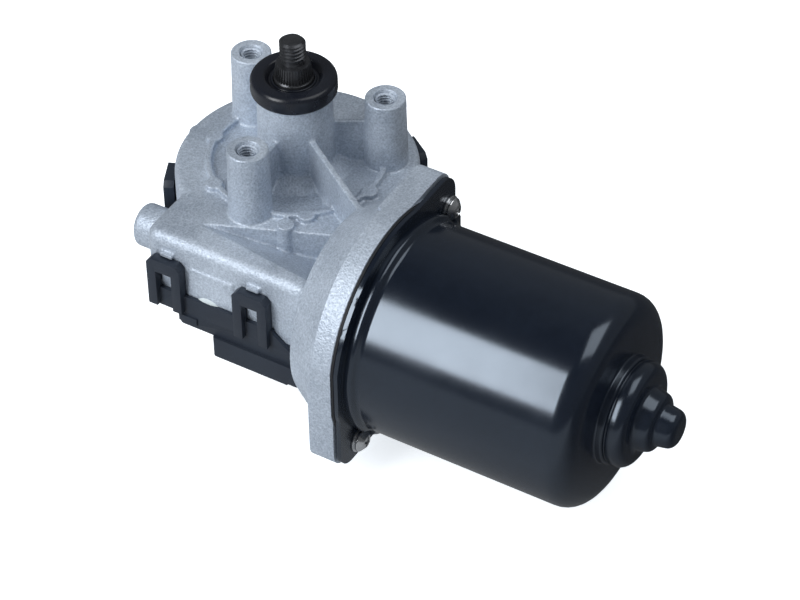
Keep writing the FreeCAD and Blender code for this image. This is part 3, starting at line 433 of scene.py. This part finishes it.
ferrite = grainedFinish("pressedFerrite", (0.105, 0.105, 0.115), (0.065, 0.065, 0.072), (0.5, 0.62),
                        1500.0, 0.04, metallic=0.2)
phenolic = grainedFinish("phenolicBoard", (0.22, 0.14, 0.08), (0.15, 0.09, 0.05), (0.4, 0.5), 900.0, 0.01)
sealant = grainedFinish("sealantBead", (0.62, 0.68, 0.70), (0.50, 0.56, 0.58), (0.22, 0.34),
                        700.0, 0.01, specular=0.5)
carbonBlock = grainedFinish("carbonBlock", (0.075, 0.075, 0.080), (0.045, 0.045, 0.050), (0.45, 0.6),
                            2000.0, 0.02, metallic=0.4)
tinnedBrass = linedFinish("tinnedBrass", (0.78, 0.76, 0.70), (0.62, 0.60, 0.54), (0.22, 0.34),
                          (1, 1, 10), 600.0, 0.004, metallic=1.0)
print("finishes mixed")


# cast gear housing

housing = {
    "bossCircle": 27.0, "bossAngles": (31.5, 151.5, 271.5), "bossHole": 3.0, "bossTop": 6.17,
    "bossFoot": 6.82, "bossHeight": 23.8, "mouth": (3.75, 1.45), "topDepth": 3.4, "topReach": 8,
    "voxel": 0.36, "quickVoxel": 0.8, "passes": 3, "triangles": 190000,
    "bead": (-0.5, -49.6, -44.0), "beadSize": (3.9, 0.9, 2.6),
}
# screws, earTrim and the two ears are (Y, Z) from the motor axis, with a corner radius where there is one
flange = {
    "screws": ((26.45, 24.7), (-26.45, -24.7)), "screwHole": 2.3, "round": 38.05, "face": 53.3,
    "shoulder": 46.85, "neck": (41.0, 33.6), "bore": 30.5, "plate": 33.0, "earBack": 45.0,
    "roundSide": 37.1, "flatSide": 34.2, "low": -31.0,
    "trimStart": 43.5, "trimEnd": 56, "earTrim": (31.2, 21.0),
    "upperEar": ((4, 0), (31.0, 0), (31.0, 37.0, 7.0), (4, 37.0)),
    "lowerEar": ((-4, 0), (-4, -31.0), (-36.3, -31.0, 6.0), (-36.3, 0)),
}


def atBoss(angle):
    radius = housing["bossCircle"]
    return (math.cos(math.radians(angle)) * radius, math.sin(math.radians(angle)) * radius, 0)


def fromAxis(*places):
    # places in YZ measured from the motor axis, with a corner radius where there is one
    return [(motorAxis[1] + place[0], motorAxis[2] + place[1], *place[2:]) for place in places]


def makeHousing():
    body = fromSolid("gear_housing", "castHousing")
    start, end, reach = flange["trimStart"], flange["trimEnd"], housing["topReach"]
    (right, high), (left, low) = fromAxis(flange["earTrim"], (-60, flange["low"] - 0.4))
    cuts = [brick("earTrim", (start, right, high), (end, right + 6, high + 16)),
            brick("footTrim", (start, left, low - 20), (end, left + 120, low))]
    for angle in housing["bossAngles"]:
        side, back, _ = atBoss(angle)
        cuts.append(brick("topTrim", (side - reach, back - reach, -housing["topDepth"] + 0.8),
                          (side + reach, back + reach, 2)))
    body = shapeWith(body, cuts, "DIFFERENCE")
    print("housing cut out", len(body.data.polygons))
    voxel = housing["voxel"]
    castSkin(body, voxel, housing["passes"], housing["triangles"])
    return handOver(body, "housing", castAluminium, ["gear_housing"], 50)


def makeBossTops():
    # turned faces of the three bosses, with the lead into the thread
    size = housing
    wide, deep = size["mouth"]
    hole, edge = size["bossHole"], size["bossTop"]
    foot = -size["topDepth"]
    taper = (size["bossFoot"] - edge) / size["bossHeight"]
    profile = [(hole, foot), (hole, -deep), (wide, -0.02, 0.08), (edge - 0.3, 0, 0.1),
               (edge + 0.02, -0.35, 0.3), (edge - taper * foot + 0.03, foot)]
    tops = []
    for angle in size["bossAngles"]:
        top = turned("bossTop", profile, steps=96)
        top.location = Vector(atBoss(angle)) * mm
        tops.append(settle(top))
    return handOver(joined("bossTops", tops), "housing", castAluminium, smoothAngle=30)


def flangeSlab(low, high, inset):
    # the flange bulges on the side of the worm box, and is flat on the other side and below
    nearSide = (inset - flange["roundSide"], flange["low"] + inset)
    farSide = (flange["flatSide"] - inset, 60)
    (left, bottom), (right, top) = fromAxis(nearSide, farSide)
    return brick("flangeSlab", (low, left, bottom), (high, right, top))


def flangePlate(name, radius, inset, low, high):
    # round plate with its two screw ears
    plate = drum(name, radius, (low, *motorAxis[1:]), high - low, sides=192)
    ears = []
    for ear in (flange["upperEar"], flange["lowerEar"]):
        drawnIn = []
        for across, up, *corner in ear:
            up = up - math.copysign(inset, up) if up else 0
            drawnIn.append((across - math.copysign(inset, across), up, *corner))
        ears.append(pressed("flangeEar", fromAxis(*drawnIn), low, high, along="x"))
    plate = shapeWith(plate, ears, "UNION")
    return shapeWith(plate, [flangeSlab(low - 1, high + 1, inset)], "INTERSECT")


def makeFlangeBand():
    size = flange
    face, shoulder, edge, inner = size["face"], size["shoulder"], size["round"], size["bore"]
    start, neck = size["neck"]
    ring = turned("flangeBand", [(start, inner), (start, neck), (shoulder - 0.15, edge - 0.9),
                                 (shoulder, edge, 0.15), (face, edge, 0.2), (face, inner)], "motor", 192)
    plate = flangePlate("bandEars", size["plate"], 0, size["earBack"], face)
    bore = drum("bandBore", inner, (start - 1, *motorAxis[1:]), 16, sides=192)
    ring = shapeWith(ring, [flangeSlab(40, 56, 0)], "INTERSECT")
    band = shapeWith(ring, [shapeWith(plate, [bore], "DIFFERENCE")], "UNION")
    breakEdges(band, 0.25, 40)
    return handOver(band, "housing", castAluminium, smoothAngle=30)


def makeBead():
    # sealant that was pressed out at the joint of the cover
    size = housing
    nothingSelected()
    bpy.ops.mesh.primitive_uv_sphere_add(segments=48, ring_count=24, radius=mm,
                                         location=Vector(size["bead"]) * mm, scale=size["beadSize"])
    bead = settle(bpy.context.object)
    bead.name = "sealantBead"
    return handOver(bead, "housing", sealant, smoothAngle=60)


makeHousing()
makeBossTops()
makeFlangeBand()
makeBead()


# screw threads, as one tooth wound up its axis

def woundThread(name, tooth, place, pitch, low, turns):
    # the tooth is a closed outline of (radius, height) corners
    obj = drawChain(name, [(a, 0, low + b) for a, b in tooth])
    bpy.ops.mesh.select_all(action="SELECT")
    bpy.ops.mesh.edge_face_add()
    bpy.ops.mesh.delete(type="ONLY_FACE")
    bpy.ops.object.mode_set(mode="OBJECT")
    screw = obj.modifiers.new("wind", "SCREW")
    screw.screw_offset = pitch * mm
    screw.iterations = turns
    screw.steps = 48
    screw.render_steps = 48
    bpy.ops.object.modifier_apply(modifier="wind")
    bpy.ops.object.mode_set(mode="EDIT")
    bpy.ops.mesh.select_all(action="SELECT")
    bpy.ops.mesh.remove_doubles(threshold=0.002 * mm)
    bpy.ops.mesh.fill_holes(sides=8)
    bpy.ops.object.mode_set(mode="OBJECT")
    obj.location = Vector(place) * mm
    return settle(obj)


bossThread = {"root": 3.08, "tip": 2.55, "pitch": 1.0, "low": -16.7, "turns": 16}


def makeBossThreads():
    size = bossThread
    tooth = [(size["root"], -0.48), (size["tip"], -0.1), (size["tip"], 0.1), (size["root"], 0.48)]
    threads = []
    for angle in housing["bossAngles"]:
        place = atBoss(angle)
        threads.append(woundThread("bossThread", tooth, place, size["pitch"], size["low"], size["turns"]))
    ridges = joined("bossThreads", threads)
    return handOver(ridges, "housing", castAluminium, smoothAngle=30)


makeBossThreads()


# output shaft with its knurled cone and thread

shaftEnd = {
    "radius": 6.0, "foot": -46.2, "groove": (5.3, 2.05, 3.15), "cone": (5.45, 4.9), "neck": 3.3,
    "knurl": (9.0, 13.8), "knurlRadius": (5.85, 5.15), "knurlTeeth": 40, "knurlDepth": 0.5,
    "threadRoot": 3.35, "threadFoot": 3.2, "threadTip": 3.97, "pitch": 1.25, "turns": 5, "top": 21.8,
}


def makeShaft():
    size = shaftEnd
    radius, foot, top = size["radius"], size["foot"], size["top"]
    low, high = size["knurl"]
    grooveRadius, grooveLow, grooveHigh = size["groove"]
    coneFoot, coneTop = size["cone"]
    neck, root, tip, threadFoot = size["neck"], size["threadRoot"], size["threadTip"], size["threadFoot"]
    core = turned("driveShaft", [
        (0, foot), (radius, foot, 0.6), (radius, grooveLow), (grooveRadius, grooveLow),
        (grooveRadius, grooveHigh), (radius, grooveHigh), (radius, low - 0.5, 0.2),
        (coneFoot + 0.05, low - 0.1), (coneFoot, low), (coneTop, high), (root + 0.1, high + 0.1),
        (neck, high + 0.9, 0.3), (root, high + 1.2), (root, top - 0.9), (root - 0.25, top, 0.25),
        (0, top)], steps=96)
    star = []
    count = size["knurlTeeth"] * 4
    for index in range(count):
        reach = size["knurlRadius"][0] - (size["knurlDepth"] if index % 4 in (2, 3) else 0)
        angle = fullTurn * index / count
        star.append((reach * math.cos(angle), reach * math.sin(angle), low))
    knurl = drawChain("knurl", star)
    ratio = size["knurlRadius"][1] / size["knurlRadius"][0]
    bpy.ops.mesh.select_all(action="SELECT")
    bpy.ops.mesh.edge_face_add()
    bpy.ops.mesh.extrude_region_move(TRANSFORM_OT_translate={"value": (0, 0, (high - low) * mm)})
    bpy.ops.transform.resize(value=(ratio, ratio, 1), center_override=(0, 0, high * mm))
    settle(knurl)
    trim = turned("knurlTrim", [(0, low - 1), (5.2, low - 1), (6.4, low + 0.6), (radius, high - 0.5),
                                (4.4, high + 0.5), (0, high + 0.5)])
    knurl = shapeWith(knurl, [trim], "INTERSECT")
    tooth = [(threadFoot, -0.62), (tip, -0.1), (tip, 0.1), (threadFoot, 0.62)]
    thread = woundThread("thread", tooth, shaftAxis, size["pitch"], high + 1.6, size["turns"])
    trim = turned("threadTrim", [(0, high), (4.2, high), (4.2, top - 0.75), (threadFoot, top - 0.02),
                                 (0, top - 0.02)])
    thread = shapeWith(thread, [trim], "INTERSECT")
    body = shapeWith(core, [knurl, thread], "UNION")
    return handOver(body, "output", oxideSteel, ["output_shaft"], 28)


makeShaft()


# cap over the upper bush

cap = {
    "outer": 13.1, "top": 9.1, "foot": 3.3, "overlap": 11.45, "seat": 4.1, "recessRadius": 8.5,
    "recessFloor": 7.3, "lip": (6.2, 6.8, 7.9), "ceiling": 6.0, "plug": 8.48, "plugBore": 8.1, "plugFoot": 3.2,
}


def makeCap():
    size = cap
    lipIn, lipOut, lipTop = size["lip"]
    outer, top, foot, seat = size["outer"], size["top"], size["foot"], size["seat"]
    recess, floor, ceiling = size["recessRadius"], size["recessFloor"], size["ceiling"]
    overlap, plug, plugBore, plugFoot = size["overlap"], size["plug"], size["plugBore"], size["plugFoot"]
    body = turned("dustCap", [
        (lipIn, ceiling), (lipIn, lipTop, 0.12), (lipOut, lipTop, 0.25), (lipOut + 0.1, floor, 0.25),
        (recess - 1.0, floor, 0.4), (recess + 0.3, top, 1.1), (outer - 0.1, top, 1.7), (outer, foot, 1.2),
        (overlap, foot, 0.3), (overlap, seat), (plug, seat), (plug, plugFoot), (plugBore, plugFoot),
        (plugBore, ceiling)], steps=128, cornerSteps=8)
    return handOver(body, "housing", capPlastic, ["shaft_cap"], 40)


makeCap()


# drawn steel can, whose hub, nose and bore are (X, radius) with a corner radius where there is one

can = {
    "face": 54.1, "back": 55.5, "radius": 32.45, "wall": 2.5, "flange": 37.4, "flangeInset": 0.5,
    "bead": 1.65, "end": 126.5, "endRound": 7.0, "inside": (124.0, 4.5), "screwDip": (4.3, 9.0),
    "hub": ((127.0, 16.5, 0.6), (129.5, 16.4, 0.8), (129.65, 15.4, 0.2), (130.2, 15.4, 0.2),
            (130.4, 15.9, 0.4), (135.0, 15.9, 3.2)),
    "nose": ((135.2, 9.9, 1.4), (139.6, 8.6, 2.2), (140.6, 6.4, 1.0), (146.0, 5.5, 2.8), (146.0, 0)),
    "bore": ((143.5, 0), (143.5, 4.3), (139.2, 4.3), (139.2, 6.7), (132.4, 6.7), (132.4, 13.4),
             (124.0, 13.4)),
}


def atScrew(along, offset):
    return (along, *fromAxis(offset)[0])


def screwHoles(start):
    places = [atScrew(start, offset) for offset in flange["screws"]]
    return [drum("screwHole", flange["screwHole"], place, 4.0, sides=48) for place in places]


def makeCan():
    size = can
    face, back, radius, bulge = size["face"], size["back"], size["radius"], size["radius"] + size["bead"]
    inner = radius - size["wall"]
    insideEnd, insideRound = size["inside"]
    # one chain from the axis along the bore, around the wall and back to the axis at the nose
    outline = [*size["bore"], (insideEnd, inner, insideRound), (face, inner), (face, radius + 1.0),
               (back + 0.1, bulge), (back + 2.4, bulge, 1.3), (back + 3.8, radius, 1.6),
               (size["end"], radius, size["endRound"]), *size["hub"], *size["nose"]]
    body = turned("motorCan", outline, "motor", 192, 8)
    plate = flangePlate("canFlange", size["flange"], size["flangeInset"], face, back)
    bore = drum("flangeBore", inner + 1.0, (face - 1, *motorAxis[1:]), 5.0, sides=192)
    plate = shapeWith(plate, [bore], "DIFFERENCE")
    breakEdges(plate, 0.3)
    dipRadius, dipLength = size["screwDip"]
    dips = [drum("screwDip", dipRadius, atScrew(back, offset), dipLength) for offset in flange["screws"]]
    body = shapeWith(body, [plate], "UNION")
    body = shapeWith(body, dips, "DIFFERENCE")
    body = shapeWith(body, screwHoles(face - 1), "DIFFERENCE")
    return handOver(body, "housing", blackPaint, ["motor_can"], 32)


makeCan()


# gasket, screws and washers of the can

gasket = {"bore": 30.4, "rim": 37.7, "inset": 0.3}
fastener = {
    "shank": 2.0, "point": 0.4, "length": 10.0, "head": 3.7, "headHeight": 2.5, "crown": 1.9,
    "washer": (4.1, 0.8), "crossWidth": 0.85, "crossReach": 2.1, "crossDepth": 1.5, "crossTurn": (25, 40),
}


def makeGasket():
    low, high = flange["face"], can["face"]
    ring = turned("flangeGasket", [(low, gasket["bore"]), (high, gasket["bore"]), (high, gasket["rim"], 0.15),
                                   (low, gasket["rim"], 0.15)], "motor", 160)
    ring = shapeWith(ring, screwHoles(low - 1.3), "DIFFERENCE")
    ring = shapeWith(ring, [flangeSlab(50, 58, gasket["inset"])], "INTERSECT")
    return handOver(ring, "housing", blackRubber, ["can_gasket"], 35)


def crossSlot(turn, top):
    # one of the two tapered slots of a cross recess, sunk into a head that faces +X
    reach, foot, wide = fastener["crossReach"], fastener["crossReach"] * 0.45, fastener["crossWidth"] / 2
    slot = pressed("slot", [(-reach, 1.0), (reach, 1.0), (foot, -fastener["crossDepth"]),
                            (-foot, -fastener["crossDepth"])], -wide, wide, along="y")
    slot.matrix_world = Matrix.Translation(Vector((top, *motorAxis[1:])) * mm) \
        @ Matrix.Rotation(math.radians(turn), 4, "X") @ Matrix.Rotation(math.radians(90), 4, "Y")
    return settle(slot)


def makeScrews():
    size = fastener
    washerRadius, washerHeight = size["washer"]
    back, shank, head = can["back"], size["shank"], size["head"]
    seat, tip = back + washerHeight, back - size["length"]
    top = seat + size["headHeight"]
    firstTurn, turnStep = size["crossTurn"]
    screws = []
    washers = []
    for index, offset in enumerate(flange["screws"]):
        screw = turned("screw", [(tip, 0), (tip, shank - size["point"], 0.1), (tip + 0.5, shank),
                                 (seat, shank), (seat, head - 0.15, 0.2), (seat + 0.9, head, 0.5),
                                 (top, head - size["crown"], 1.4), (top, 0)], "motor", 64)
        turn = firstTurn + turnStep * index
        screw = shapeWith(screw, [crossSlot(turn, top), crossSlot(turn + 90, top)], "DIFFERENCE")
        washer = turned("washer", [(back, shank + 0.02), (seat, shank + 0.02), (seat, washerRadius, 0.2),
                                   (back, washerRadius, 0.2)], "motor", 64)
        for piece in (screw, washer):
            piece.location = Vector((0, *offset)) * mm
            settle(piece)
        screws.append(screw)
        washers.append(washer)
    handOver(joined("bodyScrews", screws), "housing", zincPlate, ["can_screws"], 30)
    handOver(joined("bodyWashers", washers), "housing", zincPlate, ["screw_washers"], 30)


makeGasket()
makeScrews()


# moulded cover with its clips and the connector block

def makeCover():
    cover = fromSolid("gear_cover", "clipCover")
    pickUp(cover)
    bpy.ops.object.mode_set(mode="EDIT")
    bpy.ops.mesh.select_all(action="SELECT")
    bpy.ops.mesh.dissolve_limited(angle_limit=math.radians(1.0))
    bpy.ops.object.mode_set(mode="OBJECT")
    breakEdges(cover, 0.3, 40)
    return handOver(cover, "housing", blackNylon, ["gear_cover"], 35)


makeCover()


# finishes of the pieces that keep their CAD shape

carriedOver = {
    "upper_shaft_bush": sinteredBronze, "lower_shaft_bush": sinteredBronze, "shaft_o_ring": blackRubber,
    "shaft_washer": bareSteel, "shaft_circlip": bareSteel, "wheel_thrust_washer": naturalAcetal,
    "worm_wheel": naturalAcetal, "wheel_hub_disc": bareSteel, "park_disc": copperMetal,
    "park_contacts": tinnedBrass, "armature_shaft": bareSteel, "armature_core": laminated,
    "armature_windings": enamelWire, "commutator": copperMetal, "front_ball_bush": sinteredBronze,
    "front_bush_retainer": bareSteel, "rear_ball_bush": sinteredBronze, "rear_bush_retainer": bareSteel,
    "worm_end_bush": sinteredBronze, "worm_thrust_pad": bareSteel, "rear_thrust_plug": blackNylon,
    "field_magnets": ferrite, "magnet_clips": bareSteel, "brush_plate": phenolic,
    "brush_holders": tinnedBrass, "carbon_brushes": carbonBlock, "brush_springs": bareSteel,
    "choke_coils": enamelWire, "thermal_cutout": blackNylon, "cover_seal": blackRubber,
    "connector_pins": tinnedBrass,
}
for nodeName, finish in carriedOver.items():
    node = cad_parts[nodeName]
    node.data.materials.clear()
    node.data.materials.append(finish)
print("carried-over pieces finished")


# floor, world, lamps and camera

# lamps are (name, azimuth, elevation, distance, width, height, tilt, power), with azimuths from the -Y side
# behind and overhead are a range of Y or Z and the glow at its two ends
studio = {
    "floorZ": -79.5, "floorSize": 9000, "floorColor": (0.86, 0.87, 0.88), "floorGlow": 0.75,
    "mirrorWay": (-0.4, -0.9, 0), "mirrorReach": (-0.04, 0.05), "mirrorGlow": (0.05, 0.46), "ambient": 0.44,
    "behind": (-0.3, 0.4, 0.10, 0.17), "overhead": (0.7, 0.95, 1.0, 0.35),
    "target": (43.59, -13.0, -50.81), "azimuth": 31.19, "elevation": 41.91, "roll": -0.73, "distance": 900.68,
    "lens": 135,
    "lamps": [("key", -25, 35.5, 1100, 460, 800, 17.5, 9.9), ("topFill", 120, 66, 1300, 900, 900, 0, 5.0)],
}


def mirroredRays(tree, path):
    return sums(tree, "MAXIMUM", path.outputs["Is Glossy Ray"], path.outputs["Is Transmission Ray"])


def makeFloor():
    nothingSelected()
    bpy.ops.mesh.primitive_plane_add(size=studio["floorSize"] * mm, location=(0, 0, studio["floorZ"] * mm))
    floor = bpy.context.object
    floor.name = "studioFloor"
    material, tree, shader = newFinish("studioPaper", specular=0.0)
    path = addNode(tree, "ShaderNodeLightPath")
    clouds = placeGroup(tree, softClouds, Size=6.0)
    color = studio["floorColor"]
    paper = blend(tree, clouds.outputs["Mask"], color, tuple(c * 1.01 for c in color))
    mirrored = mirroredRays(tree, path)
    tree.links.new(blend(tree, mirrored, paper, (0.02, 0.02, 0.02)), shader.inputs["Base Color"])
    shader.inputs["Roughness"].default_value = 0.9
    # gloss shows the paper bright in front and on the left, and dark behind and on the right
    coordinates = addNode(tree, "ShaderNodeTexCoord")
    toFront = addNode(tree, "ShaderNodeVectorMath", operation="DOT_PRODUCT")
    tree.links.new(coordinates.outputs["Object"], toFront.inputs[0])
    toFront.inputs[1].default_value = studio["mirrorWay"]
    glow = remap(tree, toFront.outputs["Value"], *studio["mirrorReach"], *studio["mirrorGlow"])
    shown = sums(tree, "MULTIPLY", path.outputs["Is Camera Ray"], studio["floorGlow"])
    light = sums(tree, "MAXIMUM", shown, sums(tree, "MULTIPLY", mirrored, glow))
    shader.inputs["Emission Color"].default_value = (0.92, 0.96, 1, 1)
    tree.links.new(light, shader.inputs["Emission Strength"])
    floor.data.materials.append(material)


def makeWorld():
    world = bpy.data.worlds.new("studioWorld")
    bpy.context.scene.world = world
    world.use_nodes = True
    tree = world.node_tree
    background = tree.nodes["Background"]
    path = addNode(tree, "ShaderNodeLightPath")
    coordinates = addNode(tree, "ShaderNodeTexCoord")
    split = addNode(tree, "ShaderNodeSeparateXYZ")
    tree.links.new(coordinates.outputs["Generated"], split.inputs[0])
    # gloss shows the room lighter behind the object and darker overhead
    behind = remap(tree, split.outputs["Y"], *studio["behind"])
    overhead = remap(tree, split.outputs["Z"], *studio["overhead"])
    mirrored = mirroredRays(tree, path)
    gloss = sums(tree, "MULTIPLY", mirrored, sums(tree, "MULTIPLY", behind, overhead))
    plain = sums(tree, "MULTIPLY", sums(tree, "SUBTRACT", 1, mirrored), studio["ambient"])
    light = sums(tree, "MAXIMUM", path.outputs["Is Camera Ray"], sums(tree, "ADD", gloss, plain))
    tree.links.new(light, background.inputs["Strength"])
    background.inputs["Color"].default_value = (0.93, 0.965, 1.0, 1)


def direction(azimuth, elevation):
    a, e = math.radians(azimuth), math.radians(elevation)
    return Vector((math.sin(a) * math.cos(e), -math.cos(a) * math.cos(e), math.sin(e)))


def makeLamps():
    target = Vector(studio["target"]) * mm
    for name, azimuth, elevation, distance, width, height, tilt, power in studio["lamps"]:
        way = direction(azimuth, elevation)
        bpy.ops.object.light_add(type="AREA", location=target + way * distance * mm)
        lamp = bpy.context.object
        lamp.name = name
        facing = way.to_track_quat("Z", "Y").to_matrix()
        lamp.rotation_euler = (facing @ Matrix.Rotation(math.radians(tilt), 3, "Z")).to_euler()
        lamp.data.shape = "RECTANGLE"
        lamp.data.size = width * mm
        lamp.data.size_y = height * mm
        lamp.data.energy = power
        lamp.data.color = (0.96, 0.98, 1.0)


def makeCamera():
    back = direction(studio["azimuth"], studio["elevation"])
    azimuth, roll = math.radians(studio["azimuth"]), math.radians(studio["roll"])
    right = Vector((math.cos(azimuth), math.sin(azimuth), 0))
    up = back.cross(right)
    tiltedRight = right * math.cos(roll) + up * math.sin(roll)
    tiltedUp = up * math.cos(roll) - right * math.sin(roll)
    place = (Vector(studio["target"]) + back * studio["distance"]) * mm
    bpy.ops.object.camera_add(location=place)
    camera = bpy.context.object
    camera.rotation_euler = Matrix((tiltedRight, tiltedUp, back)).transposed().to_euler()
    camera.data.lens = studio["lens"]
    camera.data.sensor_width = 36
    camera.data.clip_end = 50
    bpy.context.scene.camera = camera


nothingSelected()
makeFloor()
makeWorld()
makeLamps()
makeCamera()
bpy.context.scene.view_settings.view_transform = "Standard"
print("studio set")
